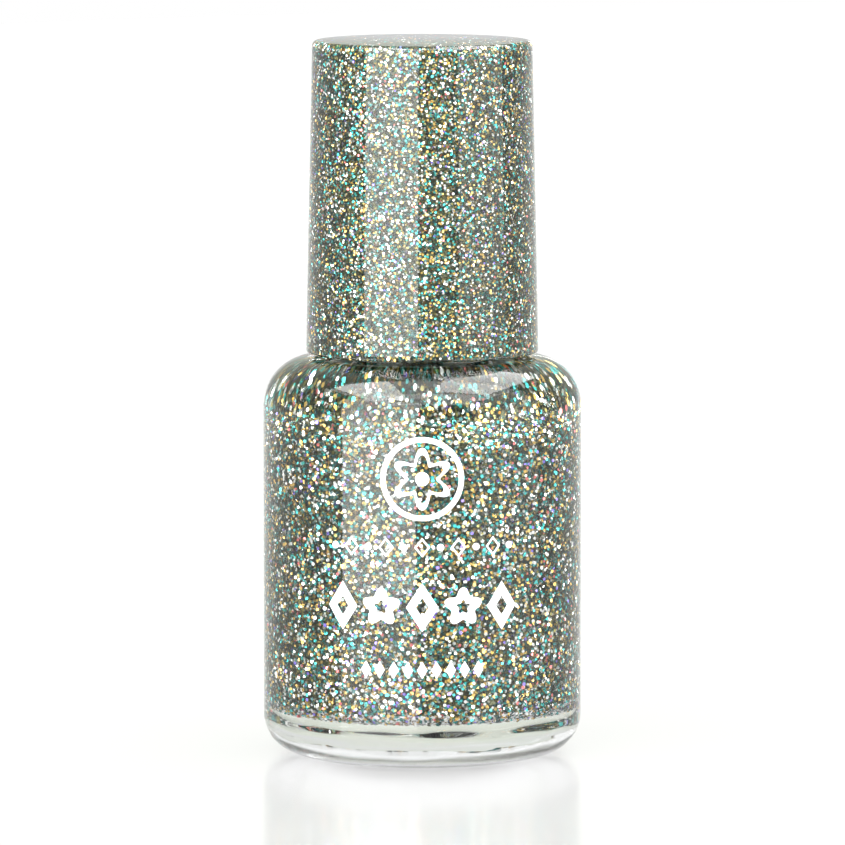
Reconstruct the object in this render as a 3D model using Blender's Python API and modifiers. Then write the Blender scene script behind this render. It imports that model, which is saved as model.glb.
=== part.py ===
"""Nail polish bottle with a screw cap and a brush, as separate pieces.

Units are metres, +Z is up, and the origin is the centre of the foot that the bottle stands on.
Every round piece is turned about the Z axis, which is also the axis that the cap unscrews and lifts along.
"""

from math import asin, cos, pi, radians, sin

import bmesh
import bpy
from mathutils import Matrix, Vector

MM = 0.001

# Gaps between neighbouring pieces
GAP = 0.3 * MM
PRESS_GAP = 0.1 * MM

# Bottle body
BODY_RADIUS = 11.5 * MM
SHOULDER_HEIGHT = 28.8 * MM
SHOULDER_RADIUS = 3.6 * MM
HEEL_RADIUS = 2.8 * MM
SIDE_WALL = 1.5 * MM
SHOULDER_WALL = 2.0 * MM
INSIDE_SHOULDER_RADIUS = 5.0 * MM
FLOOR_HEIGHT = 3.1 * MM
INSIDE_HEEL_RADIUS = 1.2 * MM
RECESS_RADIUS = 7.0 * MM
RECESS_DEPTH = 0.7 * MM
RECESS_ROUNDING = 0.35 * MM

# Neck
NECK_RADIUS = 4.9 * MM
NECK_TOP = 38.3 * MM
BORE_RADIUS = 3.3 * MM
LIP_ROUNDING = 0.45 * MM
NECK_FILLET = 0.4 * MM
BORE_FILLET = 0.8 * MM
BEAD_HEIGHT = 30.0 * MM
BEAD_RADIUS = 0.5 * MM

# Threads: a right-handed round-section ridge on the neck, and its partner half a pitch lower in the closure
PITCH = 2.1 * MM
THREAD_TURNS = 1.25
THREAD_SECTION = 0.6 * MM
NECK_THREAD_START = 32.3 * MM
NECK_THREAD_RADIUS = 5.0 * MM
CAP_THREAD_RADIUS = 5.8 * MM
THREAD_BURIED = 0.35 * MM
THREAD_FADE_TURNS = 0.12

# Lacquer
BRUSH_POCKET_RADIUS = 2.3 * MM
BRUSH_POCKET_FLOOR = 4.8 * MM
BALL_TRACK_INNER_RADIUS = 5.6 * MM
BALL_TRACK_TOP = 7.0 * MM

# Mixing balls
BALL_RADIUS = 3.175 / 2 * MM
BALL_TRACK_RADIUS = 7.6 * MM
BALL_BEARINGS = {"mixing_ball_1": -90.0, "mixing_ball_2": 90.0}

# Base label
LABEL_RADIUS = 6.4 * MM
LABEL_THICKNESS = 0.12 * MM
LABEL_GAP = 0.05 * MM

# Outer cap
CAP_BOTTOM = SHOULDER_HEIGHT + GAP
CAP_TOP = 51.6 * MM
CAP_BOTTOM_RADIUS = 8.4 * MM
CAP_TOP_RADIUS = 7.95 * MM
CAP_WALL = 0.95 * MM
CAP_ROOF = 1.2 * MM
CAP_RIM_ROUNDING = 0.4 * MM
CAP_MOUTH_ROUNDING = 0.15 * MM

# Inner cap
CLOSURE_BOTTOM = 29.4 * MM
CLOSURE_TOP = 49.9 * MM
CLOSURE_BOTTOM_RADIUS = 6.9 * MM
CLOSURE_TOP_RADIUS = 6.5 * MM
CLOSURE_BORE_RADIUS = 5.9 * MM
CLOSURE_CEILING = 40.8 * MM
CLOSURE_WEB = 1.4 * MM
CUP_BOTTOM_RADIUS = 5.8 * MM
CUP_TOP_RADIUS = 5.6 * MM
BOSS_RADIUS = 3.5 * MM
BOSS_TOP = 47.2 * MM
BOSS_ROUNDING = 0.5 * MM
RIB_COUNT = 24
RIB_WIDTH = 0.5 * MM
RIB_HEIGHT = 0.22 * MM

# Sealing liner
LINER_BOTTOM = NECK_TOP + GAP
LINER_THICKNESS = 0.8 * MM
LINER_RADIUS = 4.7 * MM
LINER_HOLE_RADIUS = 1.9 * MM

# Brush
STEM_HEAD_TOP = 45.6 * MM
STEM_HEAD_RADIUS = 2.2 * MM
SOCKET_RADIUS = STEM_HEAD_RADIUS + PRESS_GAP
SOCKET_TOP = STEM_HEAD_TOP + GAP
FLANGE_BOTTOM = LINER_BOTTOM + LINER_THICKNESS + GAP
FLANGE_TOP = CLOSURE_CEILING - GAP
FLANGE_RADIUS = 4.5 * MM
STEM_TOP_RADIUS = 1.6 * MM
STEM_TIP_RADIUS = 1.4 * MM
STEM_TIP = 14.7 * MM
TUFT_HOLE_RADIUS = 1.05 * MM
TUFT_HOLE_TOP = 17.4 * MM
TUFT_TIP = 5.2 * MM
TUFT_ROOT_TOP = 16.4 * MM
TUFT_ROOT_RADIUS = TUFT_HOLE_RADIUS - PRESS_GAP
TUFT_BELLY_RADIUS = 1.75 * MM
TUFT_BELLY_HEIGHT = 9.0 * MM
TUFT_STEPS = 6
ANCHOR_WIDTH = 1.8 * MM
ANCHOR_THICKNESS = 0.35 * MM
ANCHOR_HEIGHT = 0.6 * MM

# Facets round a full turn
FACETS = 48
SMALL_FACETS = 24

SMOOTH_ANGLE = radians(35)


def empty_scene():
    for old in list(bpy.data.objects):
        bpy.data.objects.remove(old, do_unlink=True)


def new_collection(name):
    collection = bpy.data.collections.new(name)
    bpy.context.scene.collection.children.link(collection)
    return collection


def make_material(name, colour, roughness, metallic=0.0, transmission=0.0):
    material = bpy.data.materials.new(name)
    material.use_nodes = True
    shader = material.node_tree.nodes["Principled BSDF"]
    shader.inputs["Base Color"].default_value = (*colour, 1.0)
    shader.inputs["Roughness"].default_value = roughness
    shader.inputs["Metallic"].default_value = metallic
    shader.inputs["Transmission Weight"].default_value = transmission
    return material


def arc(centre_r, centre_z, radius, start, end, steps):
    """Outline points on an arc, from start to end in degrees, with 0 pointing outwards and 90 up."""
    turn = [radians(start + (end - start) * i / steps) for i in range(steps + 1)]
    return [(centre_r + radius * cos(a), centre_z + radius * sin(a)) for a in turn]


def link(obj, collection, material=None):
    collection.objects.link(obj)
    if material:
        obj.data.materials.append(material)
    return obj


def turned(name, outline, collection, material=None, closed=False, facets=FACETS):
    """A piece turned about Z from an outline of (radius, height) points that runs down its outer side."""
    mesh = bpy.data.meshes.new(name)
    outline_mesh = bmesh.new()
    points = [outline_mesh.verts.new((r, 0, z)) for r, z in outline]
    for a, b in zip(points, points[1:]):
        outline_mesh.edges.new((a, b))
    if closed:
        outline_mesh.edges.new((points[-1], points[0]))
    outline_mesh.to_mesh(mesh)
    outline_mesh.free()
    obj = link(bpy.data.objects.new(name, mesh), collection, material)
    screw = obj.modifiers.new("Turn", "SCREW")
    screw.steps = facets
    screw.render_steps = facets
    screw.use_merge_vertices = True
    screw.merge_threshold = 0.001 * MM
    return obj


def evaluated_mesh(obj):
    graph = bpy.context.evaluated_depsgraph_get()
    return bpy.data.meshes.new_from_object(obj.evaluated_get(graph))


def join_to(obj, other):
    """Union with a helper object, which stays in its own collection and isn't rendered."""
    union = obj.modifiers.new("Join " + other.name, "BOOLEAN")
    union.operation = "UNION"
    union.object = other


def as_helper(obj):
    obj.hide_render = True
    obj.display_type = "WIRE"


def thread_ridge(name, start_height, ridge_radius, buried_by, helpers):
    """A helical ridge, round in section, that rises out of its wall at one end and sinks into it at the other.

    buried_by is how far each faded end lies inside the wall: positive towards the axis.
    """
    steps = round(FACETS * THREAD_TURNS)
    curve = bpy.data.curves.new(name, "CURVE")
    curve.dimensions = "3D"
    curve.bevel_depth = THREAD_SECTION
    curve.bevel_resolution = 2
    curve.use_fill_caps = True
    spline = curve.splines.new("POLY")
    spline.points.add(steps)
    for i, point in enumerate(spline.points):
        turns = THREAD_TURNS * i / steps
        nearest_end = min(turns, THREAD_TURNS - turns)
        swell = min(1.0, nearest_end / THREAD_FADE_TURNS)
        radius = ridge_radius - buried_by * (1 - swell)
        angle = 2 * pi * turns
        height = start_height + PITCH * turns
        point.co = (radius * cos(angle), radius * sin(angle), height, 1)
        point.radius = 0.35 + 0.65 * swell
    guide = link(bpy.data.objects.new(name + "_guide", curve), helpers)
    mesh = evaluated_mesh(guide)
    weld = bmesh.new()
    weld.from_mesh(mesh)
    bmesh.ops.remove_doubles(weld, verts=weld.verts, dist=0.001 * MM)
    bmesh.ops.recalc_face_normals(weld, faces=weld.faces)
    weld.to_mesh(mesh)
    weld.free()
    ridge = link(bpy.data.objects.new(name, mesh), helpers)
    ridge.matrix_world = guide.matrix_world
    bpy.data.objects.remove(guide)
    as_helper(ridge)
    return ridge


def shade(obj):
    """Applies the piece's modifiers and shades it smooth between its sharp edges."""
    mesh = evaluated_mesh(obj)
    obj.modifiers.clear()
    obj.data = mesh
    mesh.shade_smooth()
    mesh.set_sharp_from_angle(angle=SMOOTH_ANGLE)


def joint_empty(name, location, parent=None):
    """An empty on a joint's axis, which its moving pieces are parented to."""
    empty = bpy.data.objects.new(name, None)
    empty.empty_display_size = 4 * MM
    empty.location = location
    empty.parent = parent
    bpy.context.scene.collection.objects.link(empty)
    return empty


def parent_in_place(child, parent):
    """Parents a piece without moving it: the parents here are only shifted along Z."""
    bpy.context.view_layer.update()
    child.parent = parent
    child.matrix_parent_inverse = parent.matrix_world.inverted()


def inside_outline():
    """The bottle's cavity, from the centre of its floor up to the lip."""
    inside_radius = BODY_RADIUS - SIDE_WALL
    ceiling = SHOULDER_HEIGHT - SHOULDER_WALL
    floor_corner = (inside_radius - INSIDE_HEEL_RADIUS, FLOOR_HEIGHT + INSIDE_HEEL_RADIUS)
    shoulder_centre = (inside_radius - INSIDE_SHOULDER_RADIUS, ceiling - INSIDE_SHOULDER_RADIUS)
    outline = [(0, FLOOR_HEIGHT)]
    outline += arc(*floor_corner, INSIDE_HEEL_RADIUS, -90, 0, 4)
    outline += arc(*shoulder_centre, INSIDE_SHOULDER_RADIUS, 0, 90, 9)
    outline += arc(BORE_RADIUS + BORE_FILLET, ceiling + BORE_FILLET, BORE_FILLET, 270, 180, 3)
    outline += arc(BORE_RADIUS + LIP_ROUNDING, NECK_TOP - LIP_ROUNDING, LIP_ROUNDING, 180, 90, 3)
    return outline


def outside_outline():
    """The bottle's outer surface, from the lip down to the centre of the recess in its base."""
    neck_foot = (NECK_RADIUS + NECK_FILLET, SHOULDER_HEIGHT + NECK_FILLET)
    shoulder_centre = (BODY_RADIUS - SHOULDER_RADIUS, SHOULDER_HEIGHT - SHOULDER_RADIUS)
    recess_edge = RECESS_RADIUS - RECESS_ROUNDING
    outline = arc(NECK_RADIUS - LIP_ROUNDING, NECK_TOP - LIP_ROUNDING, LIP_ROUNDING, 90, 0, 3)
    outline += arc(NECK_RADIUS, BEAD_HEIGHT, BEAD_RADIUS, 90, -90, 6)
    outline += arc(*neck_foot, NECK_FILLET, 180, 270, 3)
    outline += arc(*shoulder_centre, SHOULDER_RADIUS, 90, 0, 8)
    outline += arc(BODY_RADIUS - HEEL_RADIUS, HEEL_RADIUS, HEEL_RADIUS, 0, -90, 7)
    outline += [(RECESS_RADIUS, 0)]
    outline += arc(recess_edge, RECESS_DEPTH - RECESS_ROUNDING, RECESS_ROUNDING, 0, 90, 2)
    outline += [(0, RECESS_DEPTH)]
    return outline


def build_glass_bottle(parts, helpers):
    glass = make_material("clear_glass", (0.86, 0.89, 0.86), 0.03, transmission=1.0)
    bottle = turned("glass_bottle", inside_outline() + outside_outline(), parts, glass)
    ridge = thread_ridge("neck_thread", NECK_THREAD_START, NECK_THREAD_RADIUS, THREAD_BURIED, helpers)
    join_to(bottle, ridge)
    return bottle


def build_lacquer(parts):
    """The polish, filled to the shoulder, with a well for the brush and a low track that the balls roll in."""
    inside_radius = BODY_RADIUS - SIDE_WALL
    ceiling = SHOULDER_HEIGHT - SHOULDER_WALL
    shoulder_centre = (inside_radius - INSIDE_SHOULDER_RADIUS, ceiling - INSIDE_SHOULDER_RADIUS)
    outline = [(0, BRUSH_POCKET_FLOOR), (BRUSH_POCKET_RADIUS, BRUSH_POCKET_FLOOR)]
    outline += [(BRUSH_POCKET_RADIUS, ceiling - GAP)]
    outline += arc(*shoulder_centre, INSIDE_SHOULDER_RADIUS - GAP, 90, 0, 9)
    outline += [(inside_radius - GAP, BALL_TRACK_TOP), (BALL_TRACK_INNER_RADIUS, BALL_TRACK_TOP)]
    outline += [(BALL_TRACK_INNER_RADIUS, FLOOR_HEIGHT + GAP), (0, FLOOR_HEIGHT + GAP)]
    glitter = make_material("glitter_lacquer", (0.42, 0.47, 0.40), 0.25, metallic=0.4)
    return turned("lacquer", outline, parts, glitter)


def build_mixing_ball(name, bearing, parts, steel):
    """A steel ball on the bottle's floor, carried by an empty on the axis that it rolls round."""
    pivot = joint_empty(name + "_track", (0, 0, FLOOR_HEIGHT + GAP + BALL_RADIUS))
    mesh = bpy.data.meshes.new(name)
    sphere = bmesh.new()
    bmesh.ops.create_uvsphere(sphere, u_segments=16, v_segments=10, radius=BALL_RADIUS)
    sphere.to_mesh(mesh)
    sphere.free()
    ball = link(bpy.data.objects.new(name, mesh), parts, steel)
    angle = radians(bearing)
    ball.parent = pivot
    ball.location = (BALL_TRACK_RADIUS * cos(angle), BALL_TRACK_RADIUS * sin(angle), 0)
    return ball


def build_base_label(parts):
    top = RECESS_DEPTH - LABEL_GAP
    bottom = top - LABEL_THICKNESS
    outline = [(0, top), (LABEL_RADIUS, top), (LABEL_RADIUS, bottom), (0, bottom)]
    paper = make_material("label_paper", (0.86, 0.85, 0.88), 0.6)
    return turned("base_label", outline, parts, paper)


def build_outer_cap(parts):
    """A tall tapered shell, open at the bottom, with a softly rounded rim round its flat top."""
    inner_bottom = CAP_BOTTOM_RADIUS - CAP_WALL
    inner_top = CAP_TOP_RADIUS - CAP_WALL
    mouth = CAP_MOUTH_ROUNDING
    rim = CAP_RIM_ROUNDING
    outline = [(0, CAP_TOP)]
    outline += arc(CAP_TOP_RADIUS - rim, CAP_TOP - rim, rim, 90, 0, 5)
    outline += arc(CAP_BOTTOM_RADIUS - mouth, CAP_BOTTOM + mouth, mouth, 0, -90, 2)
    outline += [(inner_bottom, CAP_BOTTOM), (inner_top, CAP_TOP - CAP_ROOF), (0, CAP_TOP - CAP_ROOF)]
    plastic = make_material("cap_glitter_plastic", (0.45, 0.49, 0.43), 0.2, metallic=0.3)
    return turned("outer_cap", outline, parts, plastic)


def build_rib(helpers):
    """One gripping rib for the closure's side, leaning with its taper."""
    height = CLOSURE_TOP - CLOSURE_BOTTOM - 2 * MM
    rib_mesh = bmesh.new()
    bmesh.ops.create_cube(rib_mesh, size=1)
    bmesh.ops.scale(rib_mesh, vec=(2 * RIB_HEIGHT, RIB_WIDTH, height), verts=rib_mesh.verts)
    middle_radius = (CLOSURE_BOTTOM_RADIUS + CLOSURE_TOP_RADIUS) / 2
    lean = asin((CLOSURE_BOTTOM_RADIUS - CLOSURE_TOP_RADIUS) / (CLOSURE_TOP - CLOSURE_BOTTOM))
    bmesh.ops.rotate(rib_mesh, matrix=Matrix.Rotation(-lean, 3, "Y"), verts=rib_mesh.verts)
    middle = Vector((middle_radius, 0, (CLOSURE_TOP + CLOSURE_BOTTOM) / 2))
    bmesh.ops.translate(rib_mesh, vec=middle, verts=rib_mesh.verts)
    first = rib_mesh.verts[:] + rib_mesh.edges[:] + rib_mesh.faces[:]
    for i in range(1, RIB_COUNT):
        copied = bmesh.ops.duplicate(rib_mesh, geom=first)["geom"]
        corners = [part for part in copied if isinstance(part, bmesh.types.BMVert)]
        turn = Matrix.Rotation(2 * pi * i / RIB_COUNT, 3, "Z")
        bmesh.ops.rotate(rib_mesh, matrix=turn, verts=corners)
    mesh = bpy.data.meshes.new("grip_ribs")
    rib_mesh.to_mesh(mesh)
    rib_mesh.free()
    ribs = link(bpy.data.objects.new("grip_ribs", mesh), helpers)
    as_helper(ribs)
    return ribs


def build_inner_cap(parts, helpers):
    """The threaded closure: a skirt that screws onto the neck, a socket for the brush and an open cup above."""
    web_top = CLOSURE_CEILING + CLOSURE_WEB
    outline = [(CLOSURE_BOTTOM_RADIUS, CLOSURE_BOTTOM), (CLOSURE_BORE_RADIUS, CLOSURE_BOTTOM)]
    outline += [(CLOSURE_BORE_RADIUS, CLOSURE_CEILING), (SOCKET_RADIUS, CLOSURE_CEILING)]
    outline += [(SOCKET_RADIUS, SOCKET_TOP), (0, SOCKET_TOP)]
    outer_side = [(0, BOSS_TOP)]
    outer_side += arc(BOSS_RADIUS - BOSS_ROUNDING, BOSS_TOP - BOSS_ROUNDING, BOSS_ROUNDING, 90, 0, 3)
    outer_side += [(BOSS_RADIUS, web_top), (CUP_BOTTOM_RADIUS, web_top), (CUP_TOP_RADIUS, CLOSURE_TOP)]
    outer_side += [(CLOSURE_TOP_RADIUS, CLOSURE_TOP)]
    plastic = make_material("closure_plastic", (0.78, 0.80, 0.76), 0.4)
    closure = turned("inner_cap", outer_side + outline, parts, plastic)
    ridge = thread_ridge(
        "cap_thread", NECK_THREAD_START - PITCH / 2, CAP_THREAD_RADIUS, -THREAD_BURIED, helpers
    )
    join_to(closure, ridge)
    join_to(closure, build_rib(helpers))
    return closure


def build_sealing_liner(parts):
    top = LINER_BOTTOM + LINER_THICKNESS
    outline = [(LINER_HOLE_RADIUS, top), (LINER_RADIUS, top)]
    outline += [(LINER_RADIUS, LINER_BOTTOM), (LINER_HOLE_RADIUS, LINER_BOTTOM)]
    foam = make_material("liner_foam", (0.88, 0.88, 0.86), 0.7)
    return turned("sealing_liner", outline, parts, foam, closed=True)


def build_brush_stem(parts):
    """The rod: a head that fills the closure's socket, a flange, and a hole for the tuft in its tip."""
    tip_rounding = 0.2 * MM
    outline = [(0, STEM_HEAD_TOP), (STEM_HEAD_RADIUS, STEM_HEAD_TOP)]
    outline += [(STEM_HEAD_RADIUS, FLANGE_TOP), (FLANGE_RADIUS, FLANGE_TOP)]
    outline += [(FLANGE_RADIUS, FLANGE_BOTTOM), (STEM_TOP_RADIUS, FLANGE_BOTTOM)]
    outline += arc(STEM_TIP_RADIUS - tip_rounding, STEM_TIP + tip_rounding, tip_rounding, 0, -90, 2)
    outline += [(TUFT_HOLE_RADIUS, STEM_TIP), (TUFT_HOLE_RADIUS, TUFT_HOLE_TOP), (0, TUFT_HOLE_TOP)]
    plastic = make_material("stem_plastic", (0.90, 0.90, 0.88), 0.35)
    return turned("brush_stem", outline, parts, plastic, facets=SMALL_FACETS)


def tuft_outline():
    """The tuft: its root in the stem, a swelling belly and a domed tip."""
    outline = [(0, TUFT_ROOT_TOP), (TUFT_ROOT_RADIUS, TUFT_ROOT_TOP), (TUFT_ROOT_RADIUS, STEM_TIP)]
    for i in range(1, TUFT_STEPS + 1):
        swell = sin(pi / 2 * i / TUFT_STEPS)
        radius = TUFT_ROOT_RADIUS + (TUFT_BELLY_RADIUS - TUFT_ROOT_RADIUS) * swell
        height = STEM_TIP + (TUFT_BELLY_HEIGHT - STEM_TIP) * i / TUFT_STEPS
        outline.append((radius, height))
    for i in range(1, TUFT_STEPS):
        turn = pi / 2 * i / TUFT_STEPS
        height = TUFT_BELLY_HEIGHT - (TUFT_BELLY_HEIGHT - TUFT_TIP) * sin(turn)
        outline.append((TUFT_BELLY_RADIUS * cos(turn), height))
    outline.append((0, TUFT_TIP))
    return outline


def build_bristles(parts):
    nylon = make_material("bristle_nylon", (0.10, 0.10, 0.10), 0.4)
    return turned("bristles", tuft_outline(), parts, nylon, facets=SMALL_FACETS)


def build_tuft_anchor(parts):
    """The staple at the bottom of the tuft's hole, lying across it."""
    anchor_mesh = bmesh.new()
    bmesh.ops.create_cube(anchor_mesh, size=1)
    size = (ANCHOR_WIDTH, ANCHOR_THICKNESS, ANCHOR_HEIGHT)
    bmesh.ops.scale(anchor_mesh, vec=size, verts=anchor_mesh.verts)
    middle = (TUFT_HOLE_TOP + TUFT_ROOT_TOP) / 2
    bmesh.ops.translate(anchor_mesh, vec=(0, 0, middle), verts=anchor_mesh.verts)
    mesh = bpy.data.meshes.new("tuft_anchor")
    anchor_mesh.to_mesh(mesh)
    anchor_mesh.free()
    brass = make_material("anchor_brass", (0.75, 0.60, 0.30), 0.3, metallic=1.0)
    anchor = link(bpy.data.objects.new("tuft_anchor", mesh), parts, brass)
    bevel = anchor.modifiers.new("Round edges", "BEVEL")
    bevel.width = 0.08 * MM
    bevel.segments = 2
    return anchor


def main():
    empty_scene()
    parts = new_collection("nail_polish_bottle")
    helpers = new_collection("helpers")
    steel = make_material("ball_steel", (0.62, 0.62, 0.63), 0.15, metallic=1.0)

    still = [build_glass_bottle(parts, helpers), build_lacquer(parts), build_base_label(parts)]
    balls = [build_mixing_ball(name, turn, parts, steel) for name, turn in BALL_BEARINGS.items()]
    lifted = [build_sealing_liner(parts)]
    risen = [build_brush_stem(parts), build_tuft_anchor(parts), build_bristles(parts)]
    turned_round = [build_outer_cap(parts), build_inner_cap(parts, helpers)]
    for piece in still + balls + lifted + risen + turned_round:
        shade(piece)

    lift_axis = joint_empty("cap_lift_axis", (0, 0, LINER_BOTTOM))
    rise_axis = joint_empty("thread_rise_axis", (0, 0, 0), lift_axis)
    turn_axis = joint_empty("cap_turn_axis", (0, 0, 0), rise_axis)
    for axis, pieces in ((lift_axis, lifted), (rise_axis, risen), (turn_axis, turned_round)):
        for piece in pieces:
            parent_in_place(piece, axis)


main()
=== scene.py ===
"""A small round nail polish bottle: clear glass, glitter lacquer, and a tall cap with its closure and brush.

Units are metres, +Z is up, and the bottle stands on the origin with its printed front facing -Y.
"""

import bisect
import random
from math import ceil, cos, floor, hypot, pi, radians, sin, sqrt

import bmesh
import bpy
from mathutils import Matrix, Vector, noise


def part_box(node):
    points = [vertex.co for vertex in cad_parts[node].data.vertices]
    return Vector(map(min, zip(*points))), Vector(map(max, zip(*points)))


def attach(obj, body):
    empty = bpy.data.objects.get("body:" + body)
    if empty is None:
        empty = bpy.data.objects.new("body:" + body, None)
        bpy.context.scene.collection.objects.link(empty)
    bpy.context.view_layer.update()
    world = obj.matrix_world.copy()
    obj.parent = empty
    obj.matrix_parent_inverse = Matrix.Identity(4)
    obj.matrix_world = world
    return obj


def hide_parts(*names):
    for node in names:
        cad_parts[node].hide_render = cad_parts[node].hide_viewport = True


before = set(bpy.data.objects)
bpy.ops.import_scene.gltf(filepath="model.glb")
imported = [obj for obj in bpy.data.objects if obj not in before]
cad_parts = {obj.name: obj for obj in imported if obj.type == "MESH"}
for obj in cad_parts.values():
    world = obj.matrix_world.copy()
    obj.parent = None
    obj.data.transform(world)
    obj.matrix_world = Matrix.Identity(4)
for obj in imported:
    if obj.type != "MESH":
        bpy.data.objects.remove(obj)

bl_info = {
    "name": "Nail Polish Bottle",
    "version": (1, 0, 0),
    "blender": (4, 5, 0),
    "location": "3D View > Sidebar > Bottle",
    "description": "Builds a nail polish bottle with glitter lacquer, a screw cap and a brush",
    "category": "Add Mesh",
}

MM = 0.001
FULL_TURN = 2 * pi
GOLDEN_ANGLE = 2.39996
SHARP_ANGLE = radians(35)

# Tolerances: points closer than WELD become one, and a face or point is on a wall within TOUCHING.
WELD = 0.0005 * MM
HAIR = 0.001 * MM
TOUCHING = 0.01 * MM

# How finely round pieces are spun.
OUTER_STEPS = 160
INNER_STEPS = 96
THREAD_TURNS = 1.25
RIBS = 24

# How the flakes are shared out, and how many make one piece and one foil's handful.
SHARES = {"silver": 0.30, "teal": 0.36, "gold": 0.27, "rare": 0.07}
LARGEST_BATCH = 18000
HANDFUL = 60

# The studio: a pale backdrop whose brightness depends on direction, by Y and by Z from -1 to 1.
BACKDROP = (0.99, 1.03, 0.92)
BACKDROP_BELOW = (0.98, 0.98, 1.0)
BELOW_FROM, BELOW_TO = 0.2, 0.02
FRONT_TO_BACK = ((-1, 0.6), (-0.3, 0.62), (0.1, 0.66), (0.4, 0.74), (1, 0.76))
LOW_TO_HIGH = ((-1, 1.12), (-0.12, 1.12), (0.02, 0.75), (0.2, 0.5), (0.6, 0.8), (0.9, 1.1))
WHITE = (1, 1, 1, 1)

# The floor ends early at the front left, so that the key softbox also lights the lower body.
FLOOR_CENTRE, FLOOR_RADIUS = (0.262, 0.42, 0), 0.6
LIGHTS_AIM = (0, 0, 0.025)

BOTTLE_LOW, BOTTLE_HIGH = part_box("glass_bottle")
CAP_LOW, CAP_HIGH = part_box("outer_cap")
CLOSURE_LOW, CLOSURE_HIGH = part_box("inner_cap")
LINER_LOW, LINER_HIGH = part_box("sealing_liner")
STEM_LOW, STEM_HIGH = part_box("brush_stem")
TUFT_LOW, TUFT_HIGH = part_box("bristles")
LABEL_LOW, LABEL_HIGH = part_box("base_label")


def length_property(name, description, default):
    return bpy.props.FloatProperty(
        name=name, description=description, default=default, min=0, unit="LENGTH", precision=5
    )


def colour_property(name, description, default):
    return bpy.props.FloatVectorProperty(
        name=name, description=description, default=default, min=0, max=1, size=3, subtype="COLOR"
    )


def brightness_property(name, description, default):
    return bpy.props.FloatProperty(name=name, description=description, default=default, min=0)


class BottleSizes(bpy.types.PropertyGroup):
    """The glass bottle, its neck and the lacquer in it"""

    body_radius: length_property("Body radius", "Outside of the glass body", BOTTLE_HIGH.x)
    shoulder_height: length_property("Shoulder height", "Where the body's top meets the neck", 28.8 * MM)
    shoulder_radius: length_property("Shoulder radius", "Rounding of the shoulder outside", 3.6 * MM)
    heel_radius: length_property("Heel radius", "Rounding round the foot", 2.8 * MM)
    side_wall: length_property("Side wall", "Glass thickness round the body", 1.5 * MM)
    shoulder_wall: length_property("Shoulder wall", "Glass thickness over the lacquer", 2.0 * MM)
    inside_shoulder: length_property("Inside shoulder", "Rounding of the shoulder inside", 5.0 * MM)
    inside_heel: length_property("Inside heel", "Rounding round the floor inside", 1.2 * MM)
    floor_height: length_property("Floor height", "Top of the thick glass floor", 3.1 * MM)
    recess_radius: length_property("Recess radius", "Shallow hollow under the foot", 7.0 * MM)
    recess_depth: length_property("Recess depth", "Depth of the hollow under the foot", 0.7 * MM)
    recess_rounding: length_property("Recess rounding", "Rounding of that hollow's corner", 0.35 * MM)
    neck_radius: length_property("Neck radius", "Outside of the neck between its threads", 4.9 * MM)
    neck_top: length_property("Neck top", "The lip", BOTTLE_HIGH.z)
    bore_radius: length_property("Bore radius", "Opening through the neck", 3.3 * MM)
    lip_rounding: length_property("Lip rounding", "Rounding of the lip", 0.45 * MM)
    neck_fillet: length_property("Neck fillet", "Where the neck meets the shoulder", 0.4 * MM)
    bore_fillet: length_property("Bore fillet", "Where the bore meets the ceiling", 0.8 * MM)
    bead_height: length_property("Bead height", "Height of the ring below the threads", 30.0 * MM)
    bead_radius: length_property("Bead radius", "Section of the ring below the threads", 0.5 * MM)
    thread_start: length_property("Thread start", "Height where the neck thread begins", 32.3 * MM)
    thread_pitch: length_property("Thread pitch", "Rise of a thread in one turn", 2.1 * MM)
    thread_width: length_property("Thread half width", "Half the width of a thread ridge", 0.6 * MM)
    thread_depth: length_property("Thread depth", "How far a thread stands out", 0.7 * MM)
    ripple: length_property("Ripple", "Unevenness of the moulded glass floor and heel", 0.035 * MM)


class LacquerSizes(bpy.types.PropertyGroup):
    """The lacquer's opaque heart, which lies behind the flakes at the glass"""

    skin: length_property("Flake layer", "Depth of the layer that the flakes lie in", 0.4 * MM)
    floor_skin: length_property("Floor layer", "The same at the floor and round the heel", 0.1 * MM)
    well_radius: length_property("Brush well", "Room for the brush", 2.3 * MM)
    track_top: length_property("Ball room top", "Top of the room for the mixing balls", 7.0 * MM)
    track_wall: length_property("Ball room wall", "Lacquer left outside and under the balls", 0.1 * MM)


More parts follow.
